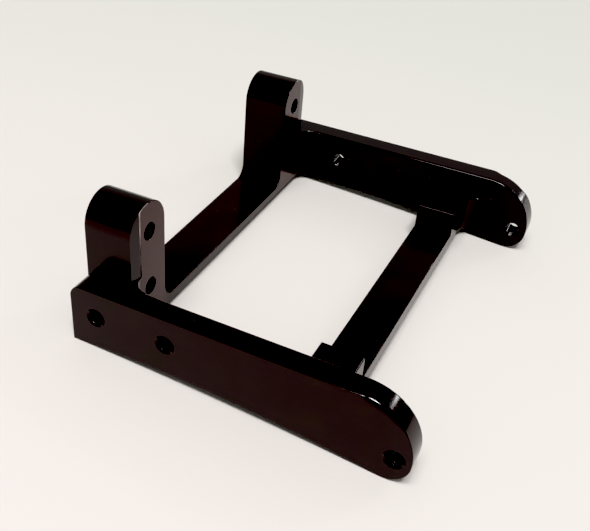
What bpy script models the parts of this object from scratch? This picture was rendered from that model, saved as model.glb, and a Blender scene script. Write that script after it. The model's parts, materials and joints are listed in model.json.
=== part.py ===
"""Open camera mount bracket: two side arms, two round-topped ears, two cross bars and two end blocks.

Metres, +Z up, +X towards the noses of the arms, +Y to the left-hand arm. The bracket stands on the
heels and the noses of its arms, so it is drawn square to the arms' top faces and then tilted.
"""
import bmesh
import bpy
import math

MM = 0.001

# Whole bracket, measured square to the arms' top faces (z = 0 is the top, x = 0 the rear face)
WIDTH = 70.0 * MM
GAP = 0.3 * MM
CUT = 2.0 * MM

# Side arms
ARM_THICKNESS = 4.0 * MM
HEEL_DEPTH = 10.45 * MM
REAR_CORNER_RADIUS = 2.0 * MM
NOSE_RADIUS = 8.7 * MM
NOSE_CENTRE_X = 46.6 * MM
CHIN_RADIUS = 3.85 * MM
CHIN_ANGLE = math.radians(-7.6)
ARCH_RISE = 1.3 * MM
HOLE_RADIUS = 1.35 * MM
SINK_RADIUS = 1.6 * MM
SINK_REACH = 1.0 * MM
SINK_TIP = 0.8 * MM
SIDE_HOLES = ((4.47 * MM, -4.72 * MM), (16.66 * MM, -4.72 * MM), (52.76 * MM, -9.03 * MM))

# Ears
EAR_LENGTH = 8.4 * MM
EAR_OUTER_Y = ARM_THICKNESS + GAP
EAR_INNER_Y = 13.6 * MM
EAR_TOP_RADIUS = 4.47 * MM
EAR_TOP_Z = 7.67 * MM
EAR_BOTTOM_Z = -9.89 * MM
EAR_HOLE_RADIUS = 1.4 * MM
EAR_HOLES = ((9.35 * MM, 7.13 * MM), (9.35 * MM, -3.0 * MM))
EAR_STEP_Y = 6.84 * MM
EAR_STEP_DEPTH = 0.2 * MM
EAR_STEP_FOOT_Z = 1.0 * MM
EAR_ROOT_RADIUS = 2.6 * MM

# Rear cross bar
REAR_BAR_TOP_Z = -8.28 * MM
REAR_BAR_FILLET = 2.3 * MM

# Front cross bar and its end blocks
FRONT_BAR_X = (36.3 * MM, 43.3 * MM)
FRONT_BAR_Z = (-11.5 * MM, -9.0 * MM)
BLOCK_INNER_Y = 12.4 * MM
BLOCK_TOP_Z = -4.5 * MM
BLOCK_ROOT_RADIUS = 2.9 * MM

# Finish
BLACK = (0.012, 0.006, 0.005, 1.0)
GLOSS_ROUGHNESS = 0.2


def arc(centre, radius, start, end, steps):
    """Points of a circular arc, from the start angle to the end angle."""
    points = []
    for i in range(steps + 1):
        angle = start + (end - start) * i / steps
        points.append((centre[0] + radius * math.cos(angle), centre[1] + radius * math.sin(angle)))
    return points


def material(name):
    """A glossy black finish."""
    mat = bpy.data.materials.new(name)
    mat.use_nodes = True
    shader = mat.node_tree.nodes["Principled BSDF"]
    shader.inputs["Base Color"].default_value = BLACK
    shader.inputs["Roughness"].default_value = GLOSS_ROUGHNESS
    shader.inputs["Metallic"].default_value = 0.0
    return mat


def link(obj, collection):
    collection.objects.link(obj)
    obj.parent = stand
    return obj


def plate(name, outline, thickness, centre, turn, collection):
    """A flat plate of the given outline, made solid about its own mid-plane."""
    curve = bpy.data.curves.new(name, "CURVE")
    curve.dimensions = "2D"
    curve.fill_mode = "BOTH"
    curve.extrude = thickness / 2
    line = curve.splines.new("POLY")
    line.points.add(len(outline) - 1)
    for point, place in zip(line.points, outline):
        point.co = (place[0], place[1], 0.0, 1.0)
    line.use_cyclic_u = True
    obj = link(bpy.data.objects.new(name, curve), collection)
    obj.location = centre
    obj.rotation_euler = turn
    return solid_mesh(obj, collection)


def solid_mesh(obj, collection):
    """Turns a filled curve into a closed mesh of the same name and place."""
    name = obj.name
    bpy.context.view_layer.update()
    shape = obj.evaluated_get(bpy.context.evaluated_depsgraph_get())
    mesh = bpy.data.meshes.new_from_object(shape)
    bm = bmesh.new()
    bm.from_mesh(mesh)
    bmesh.ops.remove_doubles(bm, verts=bm.verts, dist=1e-6)
    bmesh.ops.recalc_face_normals(bm, faces=bm.faces)
    bm.to_mesh(mesh)
    bm.free()
    place = obj.location.copy()
    turn = obj.rotation_euler.copy()
    bpy.data.objects.remove(obj, do_unlink=True)
    new = link(bpy.data.objects.new(name, mesh), collection)
    new.location = place
    new.rotation_euler = turn
    return new


def block(name, low, high, collection):
    """A rectangular block between two opposite corners."""
    mesh = bpy.data.meshes.new(name)
    bm = bmesh.new()
    bmesh.ops.create_cube(bm, size=1.0)
    for vert in bm.verts:
        for axis in range(3):
            vert.co[axis] *= high[axis] - low[axis]
    bm.to_mesh(mesh)
    bm.free()
    obj = link(bpy.data.objects.new(name, mesh), collection)
    obj.location = [(a + b) / 2 for a, b in zip(low, high)]
    return obj


def round_cutter(name, rear_radius, front_radius, depth, centre, turn):
    """A cylinder or cone that cuts a hole or a countersink."""
    mesh = bpy.data.meshes.new(name)
    bm = bmesh.new()
    bmesh.ops.create_cone(
        bm, cap_ends=True, segments=32, radius1=rear_radius, radius2=front_radius, depth=depth
    )
    bm.to_mesh(mesh)
    bm.free()
    obj = link(bpy.data.objects.new(name, mesh), cutters)
    obj.location = centre
    obj.rotation_euler = turn
    return obj


def combine(obj, other, operation):
    """Cuts the other shape from the object, or joins it on."""
    other.hide_render = True
    other.display_type = "WIRE"
    step = obj.modifiers.new(operation.lower(), "BOOLEAN")
    step.operation = operation
    step.solver = "EXACT"
    step.object = other


def finish(obj):
    """Gives the piece its own material and smooth round walls."""
    obj.data.materials.clear()
    obj.data.materials.append(material(obj.name))
    obj.data.shade_smooth()
    obj.data.set_sharp_from_angle(angle=math.radians(30))


def from_right(y, side):
    """Distance from the right-hand outer face turned into a Y position on either side."""
    return side * (WIDTH / 2 - y)


def arm_outline():
    """Side view of an arm, from the heel round the arched underside, the chin and the nose."""
    spread = NOSE_RADIUS - CHIN_RADIUS
    chin = (
        NOSE_CENTRE_X + spread * math.cos(CHIN_ANGLE),
        -NOSE_RADIUS + spread * math.sin(CHIN_ANGLE),
    )
    chord = math.hypot(chin[0], chin[1] - CHIN_RADIUS + HEEL_DEPTH)
    slope = math.atan2(chin[1] - CHIN_RADIUS + HEEL_DEPTH, chin[0])
    half = 2 * math.atan(2 * ARCH_RISE / chord)
    toe_angle = -math.pi / 2 + slope - half
    toe = (chin[0] + CHIN_RADIUS * math.cos(toe_angle), chin[1] + CHIN_RADIUS * math.sin(toe_angle))
    run = math.hypot(toe[0], toe[1] + HEEL_DEPTH)
    lean = math.atan2(toe[1] + HEEL_DEPTH, toe[0])
    radius = run / (2 * math.sin(half))
    middle = (
        toe[0] / 2 + radius * math.cos(half) * math.sin(lean),
        (toe[1] - HEEL_DEPTH) / 2 - radius * math.cos(half) * math.cos(lean),
    )
    up = math.pi / 2 + lean
    points = arc(middle, radius, up + half, up - half, 20)
    points += arc(chin, CHIN_RADIUS, toe_angle, CHIN_ANGLE, 16)[1:]
    points += arc((NOSE_CENTRE_X, -NOSE_RADIUS), NOSE_RADIUS, CHIN_ANGLE, math.pi / 2, 24)[1:]
    corner = (REAR_CORNER_RADIUS, -REAR_CORNER_RADIUS)
    points += arc(corner, REAR_CORNER_RADIUS, math.pi / 2, math.pi, 8)
    return points, chin


def ear_outline():
    """Front view of an ear, round at the top, about the middle of its width."""
    half = (EAR_INNER_Y - EAR_OUTER_Y) / 2
    rise = EAR_TOP_Z + EAR_TOP_RADIUS
    points = [(-half, EAR_BOTTOM_Z), (half, EAR_BOTTOM_Z)]
    points += arc((0.0, rise - half), half, 0.0, math.pi, 32)
    return points


def root_outline(root, reach):
    """Plan of an inside corner that sweeps from a face into the arm."""
    points = [(-reach, 0.0), (root, 0.0)]
    points += arc((root, root), root, -math.pi / 2, -math.pi, 10)[1:]
    points.append((-reach, root))
    return points


def rear_bar_outline():
    """Front view of the rear bar, its top sweeping up at each end into the ears."""
    half = WIDTH / 2 - EAR_INNER_Y - GAP
    low = WIDTH / 2 - EAR_INNER_Y - REAR_BAR_FILLET
    centre_z = REAR_BAR_TOP_Z + REAR_BAR_FILLET
    meet = -math.acos((half - low) / REAR_BAR_FILLET)
    points = [(-half, EAR_BOTTOM_Z), (half, EAR_BOTTOM_Z)]
    points += arc((low, centre_z), REAR_BAR_FILLET, meet, -math.pi / 2, 8)
    points += arc((-low, centre_z), REAR_BAR_FILLET, -math.pi / 2, -math.pi - meet, 8)
    return points


for old in list(bpy.data.objects):
    bpy.data.objects.remove(old, do_unlink=True)

parts = bpy.data.collections.new("camera_mount_bracket")
cutters = bpy.data.collections.new("cutters")
bpy.context.scene.collection.children.link(parts)
bpy.context.scene.collection.children.link(cutters)

# The bracket rests on the heels and the chins, so its top slopes up towards the noses
outline, chin_centre = arm_outline()
to_chin = math.hypot(chin_centre[0], chin_centre[1] + HEEL_DEPTH)
rest_angle = math.asin(CHIN_RADIUS / to_chin) - math.atan2(chin_centre[1] + HEEL_DEPTH, chin_centre[0])
rear_x = -(EAR_TOP_Z + EAR_TOP_RADIUS) * math.sin(rest_angle)
nose_x = NOSE_CENTRE_X * math.cos(rest_angle) + NOSE_RADIUS * (1 + math.sin(rest_angle))
stand = bpy.data.objects.new("stand", None)
parts.objects.link(stand)
stand.location = (-(rear_x + nose_x) / 2, 0.0, HEEL_DEPTH * math.cos(rest_angle))
stand.rotation_euler = (0.0, -rest_angle, 0.0)

EDGE_ON = (math.pi / 2, 0.0, 0.0)
EDGE_ON_REVERSED = (-math.pi / 2, 0.0, 0.0)
FACE_ON = (math.pi / 2, 0.0, math.pi / 2)
ALONG_X = (0.0, math.pi / 2, 0.0)
FLAT = (0.0, 0.0, 0.0)
FLAT_REVERSED = (math.pi, 0.0, 0.0)

for label, side in (("right", -1), ("left", 1)):
    # Side arm, with threaded holes that are countersunk on the outer face
    mid_y = from_right(ARM_THICKNESS / 2, side)
    outward = EDGE_ON if side < 0 else EDGE_ON_REVERSED
    arm = plate(label + "_arm", outline, ARM_THICKNESS, (0.0, mid_y, 0.0), EDGE_ON, parts)
    for number, (hole_x, hole_z) in enumerate(SIDE_HOLES):
        tag = "%s_arm_hole_%d" % (label, number)
        through = ARM_THICKNESS + 2 * CUT
        hole = round_cutter(tag, HOLE_RADIUS, HOLE_RADIUS, through, (hole_x, mid_y, hole_z), EDGE_ON)
        combine(arm, hole, "DIFFERENCE")
        place = (hole_x, from_right((SINK_TIP - SINK_REACH) / 2, side), hole_z)
        wide = SINK_RADIUS + SINK_REACH
        narrow = SINK_RADIUS - SINK_TIP
        sink = round_cutter(tag + "_sink", narrow, wide, SINK_REACH + SINK_TIP, place, outward)
        combine(arm, sink, "DIFFERENCE")
    finish(arm)

    # Ear, with its sweep into the arm and the shallow step down its front face
    ear_y = from_right((EAR_OUTER_Y + EAR_INNER_Y) / 2, side)
    ear = plate(label + "_ear", ear_outline(), EAR_LENGTH, (EAR_LENGTH / 2, ear_y, 0.0), FACE_ON, parts)
    turn = FLAT if side < 0 else FLAT_REVERSED
    depth = -EAR_BOTTOM_Z
    place = (EAR_LENGTH, from_right(EAR_OUTER_Y, side), EAR_BOTTOM_Z / 2)
    root = plate(label + "_ear_root", root_outline(EAR_ROOT_RADIUS, CUT), depth, place, turn, cutters)
    combine(ear, root, "UNION")
    step_y = (from_right(EAR_OUTER_Y - CUT, side), from_right(EAR_STEP_Y, side))
    low = (EAR_LENGTH - EAR_STEP_DEPTH, min(step_y), EAR_STEP_FOOT_Z)
    high = (EAR_LENGTH + CUT, max(step_y), EAR_TOP_Z + EAR_TOP_RADIUS + CUT)
    combine(ear, block(label + "_ear_step", low, high, cutters), "DIFFERENCE")
    for number, (hole_y, hole_z) in enumerate(EAR_HOLES):
        tag = "%s_ear_hole_%d" % (label, number)
        place = (EAR_LENGTH / 2, from_right(hole_y, side), hole_z)
        through = EAR_LENGTH + 2 * CUT
        hole = round_cutter(tag, EAR_HOLE_RADIUS, EAR_HOLE_RADIUS, through, place, ALONG_X)
        combine(ear, hole, "DIFFERENCE")
    finish(ear)

    # End block of the front bar, with its sweep into the arm
    ends = (from_right(EAR_OUTER_Y, side), from_right(BLOCK_INNER_Y, side))
    low = (FRONT_BAR_X[0], min(ends), FRONT_BAR_Z[0])
    high = (FRONT_BAR_X[1], max(ends), BLOCK_TOP_Z)
    end_block = block(label + "_block", low, high, parts)
    depth = BLOCK_TOP_Z - FRONT_BAR_Z[0]
    place = (FRONT_BAR_X[1], from_right(EAR_OUTER_Y, side), (BLOCK_TOP_Z + FRONT_BAR_Z[0]) / 2)
    root = plate(label + "_block_root", root_outline(BLOCK_ROOT_RADIUS, CUT), depth, place, turn, cutters)
    combine(end_block, root, "UNION")
    finish(end_block)

rear_bar = plate("rear_bar", rear_bar_outline(), EAR_LENGTH, (EAR_LENGTH / 2, 0.0, 0.0), FACE_ON, parts)
finish(rear_bar)

bar_y = from_right(BLOCK_INNER_Y + GAP, 1)
front_low = (FRONT_BAR_X[0], -bar_y, FRONT_BAR_Z[0])
front_high = (FRONT_BAR_X[1], bar_y, FRONT_BAR_Z[1])
front_bar = block("front_bar", front_low, front_high, parts)
finish(front_bar)
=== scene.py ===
"""Looks for the camera mount bracket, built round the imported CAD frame. Metres, +Z up."""

import json
import math

import bmesh
import bpy
from mathutils import Matrix, Vector


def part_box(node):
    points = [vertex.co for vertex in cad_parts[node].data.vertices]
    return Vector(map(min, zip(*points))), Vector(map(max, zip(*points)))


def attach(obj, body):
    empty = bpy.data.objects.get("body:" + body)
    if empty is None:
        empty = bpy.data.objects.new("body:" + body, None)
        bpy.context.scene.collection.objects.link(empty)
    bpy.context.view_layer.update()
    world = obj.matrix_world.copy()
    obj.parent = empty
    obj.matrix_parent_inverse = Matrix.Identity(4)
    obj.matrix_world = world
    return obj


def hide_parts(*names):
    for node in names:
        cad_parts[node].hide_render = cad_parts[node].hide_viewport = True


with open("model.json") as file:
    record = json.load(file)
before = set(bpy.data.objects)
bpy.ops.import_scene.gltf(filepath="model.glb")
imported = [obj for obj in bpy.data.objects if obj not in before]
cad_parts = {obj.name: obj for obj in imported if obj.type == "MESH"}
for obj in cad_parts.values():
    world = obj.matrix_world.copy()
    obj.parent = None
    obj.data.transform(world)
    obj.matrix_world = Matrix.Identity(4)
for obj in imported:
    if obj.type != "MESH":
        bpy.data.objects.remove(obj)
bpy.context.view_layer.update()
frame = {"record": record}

MM = 0.001

# Millimetres in the bracket's own axes: x = 0 the rear face, y = 0 the middle, z = 0 the arms' tops
HALF_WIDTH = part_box("left_arm")[1][1] / MM
ARM_THICKNESS = 4.0
ARM_INNER = HALF_WIDTH - ARM_THICKNESS
HEEL_DEPTH = 10.45
REAR_CORNER_RADIUS = 2.0
NOSE_RADIUS = 8.7
NOSE_CENTRE_X = 46.6
CHIN_RADIUS = 3.85
CHIN_ANGLE = math.radians(-7.6)
ARCH_RISE = 1.3
SIDE_HOLES = ((4.47, -4.72), (16.66, -4.72), (52.76, -9.03))
ARM_RIM = 0.5
ARM_EDGE_RIM = 0.14
ARM_UNDER_RIM = 0.1
NOSE_RIM = 0.95
NOSE_SWELL = 3.6

EAR_LENGTH = 8.4
EAR_OUTER = 4.6
EAR_INNER = HALF_WIDTH - 13.6
EAR_TOP_Z = 12.14
EAR_BOTTOM_Z = -9.89
EAR_STEP = HALF_WIDTH - 6.84
EAR_STEP_DEPTH = 0.12
EAR_STRIP_DROP = 0.32
EAR_STEP_FOOT = 0.05
EAR_ROOT_RADIUS = 2.6
EAR_HOLES = ((HALF_WIDTH - 9.35, 7.13), (HALF_WIDTH - 9.35, -3.0))
EAR_HOLE = 1.4
EAR_RIM = 0.12
EAR_EASE = 0.08

REAR_BAR_TOP = -8.28
REAR_BAR_FILLET = 2.3
BAR_RIM = 0.12
FRONT_BAR_X = (36.3, 43.3)
FRONT_BAR_Z = (-11.5, -9.0)
BLOCK_INNER = HALF_WIDTH - 12.4
BLOCK_TOP = -4.5
BLOCK_ROOT_RADIUS = 2.9
BLOCK_RIM = 0.3
BLOCK_CORNER = 0.12

# Pieces run into each other by this much, and sit this far behind a face they share
LAP = 0.6
SINK = 0.006

# How far a hole's cutter stands out at each end
REACH = 0.5

# Painted light falloff on the table: the -Y colour lighter, the +Y colour darker
TABLE_NEAR_PAINTED_LIGHT = (0.835, 0.772, 0.758)
TABLE_FAR_PAINTED_SHADE = (0.752, 0.742, 0.700)

# M3 thread
THREAD_PITCH = 0.5
THREAD_CREST = 1.26
THREAD_ROOT = 1.36
COUNTERSINK = 1.6

# The mount on the right-hand ear's front face gives the tilt and the place of the bracket's axes
face = next(m for m in frame["record"]["mounts"] if m["name"] == "right_ear_front_face")
FACE_POINT = Vector((EAR_LENGTH, 0.0, 2.0)) * MM
tilt = math.atan2(face["axis"][2], face["axis"][0])
turn = Matrix.Rotation(-tilt, 4, "Y")
corner = Vector((face["pos_m"][0], 0.0, face["pos_m"][2])) - turn.to_3x3() @ FACE_POINT
STAND = Matrix.Translation(corner) @ turn


# ---------------------------------------------------------------- materials

def nodes_of(name):
    mat = bpy.data.materials.new(name)
    mat.use_nodes = True
    tree = mat.node_tree
    return mat, tree, tree.nodes["Principled BSDF"]


def noise(tree, scale, detail, rough=0.5, stretch=(1.0, 1.0, 1.0)):
    coord = tree.nodes.new("ShaderNodeTexCoord")
    mapping = tree.nodes.new("ShaderNodeMapping")
    mapping.inputs["Scale"].default_value = stretch
    tex = tree.nodes.new("ShaderNodeTexNoise")
    tex.inputs["Scale"].default_value = scale
    tex.inputs["Detail"].default_value = detail
    tex.inputs["Roughness"].default_value = rough
    tree.links.new(coord.outputs["Object"], mapping.inputs["Vector"])
    tree.links.new(mapping.outputs["Vector"], tex.inputs["Vector"])
    return tex


def ramp(tree, source, stops):
    node = tree.nodes.new("ShaderNodeValToRGB")
    while len(node.color_ramp.elements) < len(stops):
        node.color_ramp.elements.new(0.5)
    for element, (place, colour) in zip(node.color_ramp.elements, stops):
        element.position = place
        element.color = (*colour, 1.0)
    tree.links.new(source, node.inputs["Fac"])
    return node


def anodised(name, grain, dark, patch, light):
    """Glossy black anodised aluminium: a faint warm tone, soft grain and a few specks of dust."""
    mat, tree, shader = nodes_of(name)
    cloud = noise(tree, 140.0, 3.0)
    tone = ramp(tree, cloud.outputs["Fac"], ((0.3, dark), (0.5, patch), (0.7, light)))
    dust = noise(tree, 2600.0, 0.0)
    mask = ramp(tree, dust.outputs["Fac"], ((0.885, (0.0, 0.0, 0.0)), (0.92, (1.0, 1.0, 1.0))))
    mix = tree.nodes.new("ShaderNodeMix")
    mix.data_type = "RGBA"
    mix.inputs[7].default_value = (0.12, 0.11, 0.11, 1.0)
    tree.links.new(mask.outputs["Color"], mix.inputs[0])
    tree.links.new(tone.outputs["Color"], mix.inputs[6])
    tree.links.new(mix.outputs[2], shader.inputs["Base Color"])
    marks = noise(tree, 900.0, 4.0, 0.6, grain)
    shades = ((0.3, (0.10, 0.10, 0.10)), (0.75, (0.17, 0.17, 0.17)))
    gloss = ramp(tree, marks.outputs["Fac"], shades)
    tree.links.new(gloss.outputs["Color"], shader.inputs["Roughness"])
    bump = tree.nodes.new("ShaderNodeBump")
    bump.inputs["Strength"].default_value = 0.05
    bump.inputs["Distance"].default_value = 0.02 * MM
    tree.links.new(marks.outputs["Fac"], bump.inputs["Height"])
    tree.links.new(bump.outputs["Normal"], shader.inputs["Normal"])
    shader.inputs["IOR"].default_value = 1.5
    shader.inputs["Metallic"].default_value = 0.0
    return mat


def painted_edge_highlight(name):
    """Painted highlight: a light, metal-coloured finish for edges where the light catches them."""
    mat, tree, shader = nodes_of(name)
    cloud = noise(tree, 700.0, 3.0)
    tone = ramp(tree, cloud.outputs["Fac"], ((0.35, (0.34, 0.29, 0.28)), (0.6, (0.62, 0.57, 0.56))))
    tree.links.new(tone.outputs["Color"], shader.inputs["Base Color"])
    shader.inputs["Metallic"].default_value = 1.0
    shader.inputs["Roughness"].default_value = 0.32
    return mat


def table_top():
    """Plain cream table, very slightly uneven, with painted light falloff: lighter at -Y, darker
    towards +Y.
    """
    mat, tree, shader = nodes_of("table_top")
    coord = tree.nodes.new("ShaderNodeTexCoord")
    split = tree.nodes.new("ShaderNodeSeparateXYZ")
    tree.links.new(coord.outputs["Object"], split.inputs["Vector"])
    # Painted light falloff: blend from the lighter to the darker colour along Y
    reach = tree.nodes.new("ShaderNodeMapRange")
    reach.inputs["From Min"].default_value = -0.09
    reach.inputs["From Max"].default_value = 0.13
    tree.links.new(split.outputs["Y"], reach.inputs["Value"])
    cloud = noise(tree, 9.0, 2.0)
    blend = tree.nodes.new("ShaderNodeMath")
    blend.operation = "MULTIPLY_ADD"
    blend.inputs[1].default_value = 0.12
    tree.links.new(cloud.outputs["Fac"], blend.inputs[0])
    tree.links.new(reach.outputs["Result"], blend.inputs[2])
    tone = ramp(tree, blend.outputs["Value"], ((0.0, TABLE_NEAR_PAINTED_LIGHT), (1.0, TABLE_FAR_PAINTED_SHADE)))
    tree.links.new(tone.outputs["Color"], shader.inputs["Base Color"])
    shader.inputs["Roughness"].default_value = 0.55
    shader.inputs["Specular IOR Level"].default_value = 0.3
    return mat


# ---------------------------------------------------------------- shapes

def arc(centre, radius, start, end, steps):
    points = []
    for i in range(steps + 1):
        a = start + (end - start) * i / steps
        points.append((centre[0] + radius * math.cos(a), centre[1] + radius * math.sin(a)))
    return points


def rounded(corners, steps=8):
    """An outline from (u, v, radius) corners; a radius of 0 leaves the corner sharp."""
    points = []
    count = len(corners)
    for i, (u, v, radius) in enumerate(corners):
        if radius <= 0:
            points.append((u, v))
            continue
        here = Vector((u, v))
        back = (Vector(corners[i - 1][:2]) - here).normalized()
        ahead = (Vector(corners[(i + 1) % count][:2]) - here).normalized()
        half = back.angle(ahead) / 2
        reach = radius / math.tan(half)
        centre = here + (back + ahead).normalized() * (radius / math.sin(half))
        first = here + back * reach - centre
        last = here + ahead * reach - centre
        start = math.atan2(first.y, first.x)
        sweep = (math.atan2(last.y, last.x) - start + math.pi) % (2 * math.pi) - math.pi
        points += arc(centre, radius, start, start + sweep, steps)
    return [p for i, p in enumerate(points) if math.dist(p, points[i - 1]) > 1e-4]


def inset(outline, amounts):
    """The outline drawn inwards, corner by corner."""
    count = len(outline)
    area = sum(
        outline[i - 1][0] * outline[i][1] - outline[i][0] * outline[i - 1][1] for i in range(count)
    )
    way = 1.0 if area > 0 else -1.0
    moved = []
    for i in range(count):
        here = Vector(outline[i])
        a = (here - Vector(outline[i - 1])).normalized()
        b = (Vector(outline[(i + 1) % count]) - here).normalized()
        na = Vector((a.y, -a.x)) * way
        nb = Vector((b.y, -b.x)) * way
        moved.append(here - (na + nb) * (amounts[i] / (1.0 + na.dot(nb))))
    return moved


def to_place(axis, u, v, w):
    """A point of an outline at height w along the axis it is drawn out along, in metres."""
    spots = {"x": (w, u, v), "y": (u, w, v), "z": (u, v, w)}
    return Vector(spots[axis]) * MM


def prism(name, outline, axis, low, high, rim, materials, rim_slot=0, steps=4):
    """The outline drawn out along an axis, its rims rounded; rim is a radius, or two lists of them."""
    rims_low, rims_high = rim if isinstance(rim, tuple) else ([rim] * len(outline),) * 2
    climb = [math.pi / 2 * k / steps for k in range(steps + 1)]
    bm = bmesh.new()
    rings = []
    ends = ((low, 1.0, rims_low, climb), (high, -1.0, rims_high, climb[::-1]))
    for end, way, rims, angles in ends:
        for a in angles:
            line = inset(outline, [r * (1 - math.sin(a)) for r in rims])
            rings.append([
                bm.verts.new(to_place(axis, p[0], p[1], end + way * r * (1 - math.cos(a))))
                for p, r in zip(line, rims)
            ])
    bm.faces.new(rings[0])
    bm.faces.new(rings[-1])
    count = len(outline)
    for level in range(len(rings) - 1):
        for i in range(count):
            j = (i + 1) % count
            this, above = rings[level], rings[level + 1]
            side = bm.faces.new((this[i], this[j], above[j], above[i]))
            if level != steps:
                side.material_index = rim_slot
    bmesh.ops.recalc_face_normals(bm, faces=bm.faces)
    mesh = bpy.data.meshes.new(name)
    bm.to_mesh(mesh)
    bm.free()
    obj = bpy.data.objects.new(name, mesh)
    bpy.context.scene.collection.objects.link(obj)
    for mat in materials:
        mesh.materials.append(mat)
    return obj


def hole_cutter(axis, centre, heights, profile, material, segments=48):
    """A cutter along an axis whose radius is profile(angle, height), closed at both ends."""
    rows = len(heights) - 1
    bm = bmesh.new()
    rings = []
    for w in heights:
        ring = []
        for k in range(segments):
            a = 2 * math.pi * k / segments
            r = profile(a, w)
            u, v = centre[0] + r * math.cos(a), centre[1] + r * math.sin(a)
            ring.append(bm.verts.new(to_place(axis, u, v, w)))
        rings.append(ring)
    bm.faces.new(rings[0])
    bm.faces.new(rings[-1])
    for row in range(rows):
        for k in range(segments):
            j = (k + 1) % segments
            bm.faces.new((rings[row][k], rings[row][j], rings[row + 1][j], rings[row + 1][k]))
    bmesh.ops.recalc_face_normals(bm, faces=bm.faces)
    mesh = bpy.data.meshes.new("cutter")
    bm.to_mesh(mesh)
    bm.free()
    obj = bpy.data.objects.new("cutter", mesh)
    bpy.context.scene.collection.objects.link(obj)
    mesh.materials.append(material)
    return obj


def cut(obj, tools, operation="DIFFERENCE"):
    """Applies each tool to the object's mesh and takes the tools away."""
    for tool in tools:
        step = obj.modifiers.new("cut", "BOOLEAN")
        step.operation = operation
        step.solver = "EXACT"
        step.object = tool
    bpy.context.view_layer.update()
    shape = obj.evaluated_get(bpy.context.evaluated_depsgraph_get())
    mesh = bpy.data.meshes.new_from_object(shape)
    obj.modifiers.clear()
    obj.data = mesh
    mesh.name = obj.name
    for tool in tools:
        bpy.data.objects.remove(tool, do_unlink=True)


def present(obj, node):
    """Stands the piece on the table, shades it and puts it in place of the CAD node."""
    obj.data.transform(STAND)
    obj.data.shade_smooth()
    obj.data.set_sharp_from_angle(angle=math.radians(32))
    flat = obj.modifiers.new("flat_faces", "WEIGHTED_NORMAL")
    flat.mode = "FACE_AREA"
    flat.weight = 100
    flat.keep_sharp = True
    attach(obj, "root")
    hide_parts(node)


def arm_outline():
    """Side view of an arm: heel, arched underside, chin, nose and rear corner."""
    spread = NOSE_RADIUS - CHIN_RADIUS
    chin = (
        NOSE_CENTRE_X + spread * math.cos(CHIN_ANGLE),
        -NOSE_RADIUS + spread * math.sin(CHIN_ANGLE),
    )
    rise = chin[1] - CHIN_RADIUS + HEEL_DEPTH
    half = 2 * math.atan(2 * ARCH_RISE / math.hypot(chin[0], rise))
    toe_angle = -math.pi / 2 + math.atan2(rise, chin[0]) - half
    toe = (chin[0] + CHIN_RADIUS * math.cos(toe_angle), chin[1] + CHIN_RADIUS * math.sin(toe_angle))
    lean = math.atan2(toe[1] + HEEL_DEPTH, toe[0])
    radius = math.hypot(toe[0], toe[1] + HEEL_DEPTH) / (2 * math.sin(half))
    middle = (
        toe[0] / 2 + radius * math.cos(half) * math.sin(lean),
        (toe[1] - HEEL_DEPTH) / 2 - radius * math.cos(half) * math.cos(lean),
    )
    up = math.pi / 2 + lean
    points = arc(middle, radius, up + half, up - half, 32)
    points += arc(chin, CHIN_RADIUS, toe_angle, CHIN_ANGLE, 28)[1:]
    points += arc((NOSE_CENTRE_X, -NOSE_RADIUS), NOSE_RADIUS, CHIN_ANGLE, math.pi / 2, 56)[1:]
    points += [(NOSE_CENTRE_X - gap, 0.0) for gap in (0.6, 1.2, 1.8, 2.4, 3.2)]
    corner_at = (REAR_CORNER_RADIUS, -REAR_CORNER_RADIUS)
    points += arc(corner_at, REAR_CORNER_RADIUS, math.pi / 2, math.pi, 14)
    return points


def arm_rims(outline, top, swell):
    """Edge rounding of an arm: top on its upper edge, swell at the nose's start, small underneath."""
    rims = []
    for i, here in enumerate(outline):
        ahead = outline[(i + 1) % len(outline)]
        run = Vector(ahead) - Vector(outline[i - 1])
        up = max(0.0, -run.x / run.length)
        near = min(1.0, max(0.0, 1.9 - abs(here[0] - NOSE_CENTRE_X - NOSE_SWELL) / 2.0))
        near = near * near * (3.0 - 2.0 * near)
        rims.append(ARM_UNDER_RIM + (top - ARM_UNDER_RIM + (swell - top) * near) * up)
    return rims


def threaded():
    """Radius of a threaded hole through an arm, countersunk outside and eased inside."""
    def radius(angle, w):
        depth = HALF_WIDTH - abs(w)
        turn_part = (w / THREAD_PITCH - angle / (2 * math.pi)) % 1.0
        wave = 0.5 - 0.5 * math.cos(math.pi * max(0.0, 2 * abs(2 * turn_part - 1) - 1))
        thread = THREAD_CREST + (THREAD_ROOT - THREAD_CREST) * wave
        return max(thread, COUNTERSINK - depth, THREAD_ROOT + 0.05 - (ARM_THICKNESS - depth))
    return radius


def plain(radius, ease, low, high):
    """Radius of a plain hole with a small ease at each mouth."""
    def at(angle, w):
        return max(radius, radius + ease - (w - low), radius + ease - (high - w))
    return at


GRAIN = (1.0, 6.0, 6.0)
black = anodised(
    "anodised_black", GRAIN, (0.009, 0.0042, 0.0026), (0.011, 0.0028, 0.0052), (0.0130, 0.0062, 0.0045),
)
# Painted reflection: a lighter, redder copy of the black finish, standing for the table reflected in
# the ears' front faces; grain and dust as on the black
painted_reflection_pad = anodised(
    "anodised_pad_painted_reflection", GRAIN, (0.040, 0.010, 0.009), (0.045, 0.010, 0.013), (0.052, 0.014, 0.012),
)
# Painted highlight: lighter metal for the ears' bright front rim and the step's lip
edge = painted_edge_highlight("painted_highlight_edge")
outline = arm_outline()

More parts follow.
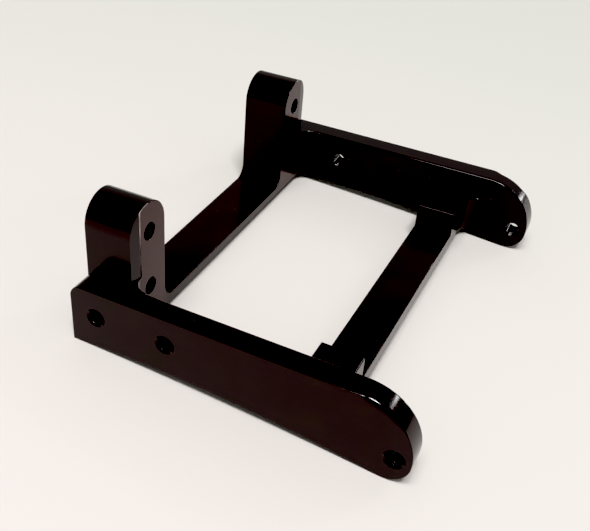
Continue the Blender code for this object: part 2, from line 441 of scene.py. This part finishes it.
for label, side in (("right", -1), ("left", 1)):
    def across(a, b):
        """Two distances from the middle as low and high Y on this side."""
        return (min(side * a, side * b), max(side * a, side * b))

    # Arm, with three threaded holes
    low, high = across(ARM_INNER, HALF_WIDTH)
    rims = [arm_rims(outline, ARM_EDGE_RIM, NOSE_RIM), arm_rims(outline, ARM_RIM, ARM_RIM)]
    arm = prism(label + "_arm_plate", outline, "y", low, high, tuple(rims[::-side]), [black], 0, 6)
    tools = []
    drilled = ARM_THICKNESS + 2 * REACH
    rows = int(drilled / THREAD_PITCH * 12)
    heights = [low - REACH + drilled * k / rows for k in range(rows + 1)]
    for spot in SIDE_HOLES:
        tools.append(hole_cutter("y", spot, heights, threaded(), black))
    cut(arm, tools)
    present(arm, label + "_arm")

    # Ear: round-topped body, less the shallow step down its front face, with its sweep into the arm
    half = (HALF_WIDTH - EAR_OUTER - EAR_INNER) / 2
    mid = side * (EAR_INNER + half)
    body_line = [(mid - side * half, EAR_BOTTOM_Z), (mid + side * half, EAR_BOTTOM_Z)]
    sweep_from, sweep_to = (1 - side) * math.pi / 2, (1 + side) * math.pi / 2
    body_line += arc((mid, EAR_TOP_Z - half), half, sweep_from, sweep_to, 48)
    finish = [black, edge, painted_reflection_pad]
    ear = prism(label + "_ear_lug", body_line, "x", 0.0, EAR_LENGTH, EAR_RIM, finish)
    for face in ear.data.polygons:
        spot = face.center / MM
        # Painted reflection on the ear's front face
        if spot.x > EAR_LENGTH - SINK:
            face.material_index = 2
        # Painted highlight on the front rim of the ear's outer half
        elif spot.x > EAR_LENGTH - EAR_RIM and side * spot.y > side * mid:
            face.material_index = 1
    front = EAR_LENGTH - EAR_STEP_DEPTH
    step_y = side * EAR_STEP
    lip_y = step_y - side * EAR_RIM
    beyond = mid + side * (half + 1.0)
    step_line = [(EAR_LENGTH + 1.0, lip_y - side), (EAR_LENGTH, lip_y), (front, step_y),
                 (front - EAR_STRIP_DROP, beyond), (EAR_LENGTH + 1.0, beyond)]
    step = prism(
        label + "_ear_step", step_line, "z", EAR_STEP_FOOT, EAR_TOP_Z + 1.0, 0.01, [black, edge], 0, 1,
    )
    for face in step.data.polygons:
        spot = face.center / MM
        # Painted highlight on the step's lip
        if front < spot.x < EAR_LENGTH and side * spot.y < EAR_STEP:
            face.material_index = 1
    cut(ear, [step])
    wall = ARM_INNER
    root = rounded((
        (EAR_LENGTH - 1.0, side * (wall + LAP), 0.0),
        (EAR_LENGTH + EAR_ROOT_RADIUS, side * (wall + LAP), 0.0),
        (EAR_LENGTH + EAR_ROOT_RADIUS, side * wall, 0.0),
        (EAR_LENGTH, side * wall, EAR_ROOT_RADIUS),
        (EAR_LENGTH, side * (wall - EAR_ROOT_RADIUS), 0.0),
        (EAR_LENGTH - 1.0, side * (wall - EAR_ROOT_RADIUS), 0.0),
    ), 16)
    bottom = EAR_BOTTOM_Z + SINK
    sweep = prism(label + "_ear_sweep", root, "z", bottom, 0.0, 0.02, [black], 0, 1)
    foot_line = rounded((
        (SINK, bottom, 0.0), (EAR_LENGTH - SINK, bottom, 0.0),
        (EAR_LENGTH - SINK, -0.2, 0.0), (SINK, -0.2, REAR_CORNER_RADIUS),
    ), 10)
    low, high = across(wall - 2.0, wall + LAP - 0.1)
    foot = prism(label + "_ear_foot", foot_line, "y", low, high, 0.02, [black], 0, 1)
    cut(ear, [sweep, foot], "UNION")
    tools = []
    for spot in EAR_HOLES:
        place = (side * spot[0], spot[1])
        heights = (-REACH, EAR_EASE, EAR_LENGTH - EAR_EASE, EAR_LENGTH + REACH)
        bore = plain(EAR_HOLE, EAR_EASE, 0.0, EAR_LENGTH)
        tools.append(hole_cutter("x", place, heights, bore, black))
    cut(ear, tools)
    present(ear, label + "_ear")

    # End block of the front bar, with its sweep into the arm
    block_line = rounded((
        (FRONT_BAR_X[0], side * (wall + LAP), 0.0),
        (FRONT_BAR_X[1] + BLOCK_ROOT_RADIUS, side * (wall + LAP), 0.0),
        (FRONT_BAR_X[1] + BLOCK_ROOT_RADIUS, side * wall, 0.0),
        (FRONT_BAR_X[1], side * wall, BLOCK_ROOT_RADIUS),
        (FRONT_BAR_X[1], side * BLOCK_INNER, BLOCK_CORNER),
        (FRONT_BAR_X[0], side * BLOCK_INNER, BLOCK_CORNER),
    ), 16)
    low, high = FRONT_BAR_Z[0], BLOCK_TOP
    block = prism(label + "_block_body", block_line, "z", low, high, BLOCK_RIM, [black])
    present(block, label + "_block")

# Rear bar, its top sweeping up into the ears
lap_y = EAR_INNER + LAP
shoulder = REAR_BAR_TOP + REAR_BAR_FILLET
bar_line = rounded((
    (-lap_y, EAR_BOTTOM_Z + SINK, 0.0), (lap_y, EAR_BOTTOM_Z + SINK, 0.0),
    (lap_y, shoulder, 0.0), (EAR_INNER, shoulder, 0.0),
    (EAR_INNER, REAR_BAR_TOP, REAR_BAR_FILLET), (-EAR_INNER, REAR_BAR_TOP, REAR_BAR_FILLET),
    (-EAR_INNER, shoulder, 0.0), (-lap_y, shoulder, 0.0),
), 14)
rear_bar = prism("rear_bar_strip", bar_line, "x", SINK, EAR_LENGTH - SINK, BAR_RIM, [black])
present(rear_bar, "rear_bar")

# Front bar between the two blocks
rear_x, front_x = FRONT_BAR_X[0] + SINK, FRONT_BAR_X[1] - SINK
under_z, top_z = FRONT_BAR_Z[0] + SINK, FRONT_BAR_Z[1]
front_line = rounded((
    (rear_x, under_z, BAR_RIM), (front_x, under_z, BAR_RIM),
    (front_x, top_z, BAR_RIM), (rear_x, top_z, BAR_RIM),
), 5)
end = BLOCK_INNER + LAP
front_bar = prism("front_bar_strip", front_line, "y", -end, end, 0.05, [black], 0, 1)
present(front_bar, "front_bar")

# ---------------------------------------------------------------- table, light and camera

bpy.ops.mesh.primitive_plane_add(size=3.0, location=(0.0, 0.0, 0.0))
table = bpy.context.object
table.name = "table"
table.data.materials.append(table_top())

world = bpy.data.worlds.new("room")
bpy.context.scene.world = world
world.use_nodes = True
tree = world.node_tree
background = tree.nodes["Background"]
coord = tree.nodes.new("ShaderNodeTexCoord")
split = tree.nodes.new("ShaderNodeSeparateXYZ")
tree.links.new(coord.outputs["Generated"], split.inputs["Vector"])
room = ramp(tree, split.outputs["Z"], (
    (0.0, (0.25, 0.24, 0.23)), (0.35, (0.36, 0.42, 0.40)),
    (0.57, (0.50, 0.49, 0.48)), (0.72, (0.30, 0.30, 0.29)),
))
tree.links.new(room.outputs["Color"], background.inputs["Color"])


def lamp(name, direction, distance, size, power, colour=(1.0, 1.0, 1.0)):
    """A soft rectangular lamp that faces the bracket from a direction."""
    data = bpy.data.lights.new(name, "AREA")
    data.shape = "RECTANGLE"
    data.size, data.size_y = size
    data.energy = power
    data.color = colour
    obj = bpy.data.objects.new(name, data)
    bpy.context.scene.collection.objects.link(obj)
    way = Vector(direction).normalized()
    obj.location = way * distance
    obj.rotation_euler = way.to_track_quat("Z", "Y").to_euler()


lamp("ceiling_panel", (-0.01, -0.35, 0.93), 1.8, (0.88, 0.60), 15.0, (1.0, 0.985, 0.97))
lamp("ceiling_lamp", (0.22, -0.35, 0.93), 1.75, (0.26, 0.26), 9.3)
lamp("ceiling_spot", (0.0, -0.28, 0.96), 1.6, (0.07, 0.07), 2.4)
lamp("low_window", (0.53, 0.83, 0.15), 1.0, (0.11, 0.11), 0.6)
lamp("window", (0.49, 0.71, 0.50), 1.0, (0.075, 0.075), 0.32)

# Camera: what it looks at, from where, and how far it is rolled and shifted
TARGET = Vector((-11.19, -10.04, 5.39)) * MM
DISTANCE = 145.88 * MM
AZIMUTH = math.radians(24.21)
ELEVATION = math.radians(36.83)
ROLL = math.radians(-6.33)
FOCAL = 52.95
SHIFT = 0.0932

away = Vector((
    math.sin(AZIMUTH) * math.cos(ELEVATION),
    -math.cos(AZIMUTH) * math.cos(ELEVATION),
    math.sin(ELEVATION),
))
level = (-away).cross(Vector((0.0, 0.0, 1.0))).normalized()
down = (-away).cross(level)
right = level * math.cos(ROLL) + down * math.sin(ROLL)
camera_up = away.cross(right)
data = bpy.data.cameras.new("camera")
data.lens = FOCAL
data.sensor_width = 36.0
data.shift_x = SHIFT
data.clip_start = 0.005
camera = bpy.data.objects.new("camera", data)
bpy.context.scene.collection.objects.link(camera)
pose = Matrix((right, camera_up, away)).transposed().to_4x4()
pose.translation = TARGET + away * DISTANCE
camera.matrix_world = pose
bpy.context.scene.camera = camera

# The darkest tones are clipped to black
view = bpy.context.scene.view_settings
view.view_transform = "Standard"
view.use_curve_mapping = True
view.curve_mapping.black_level = (0.0428, 0.0436, 0.0433)
view.curve_mapping.update()

bpy.context.view_layer.update()
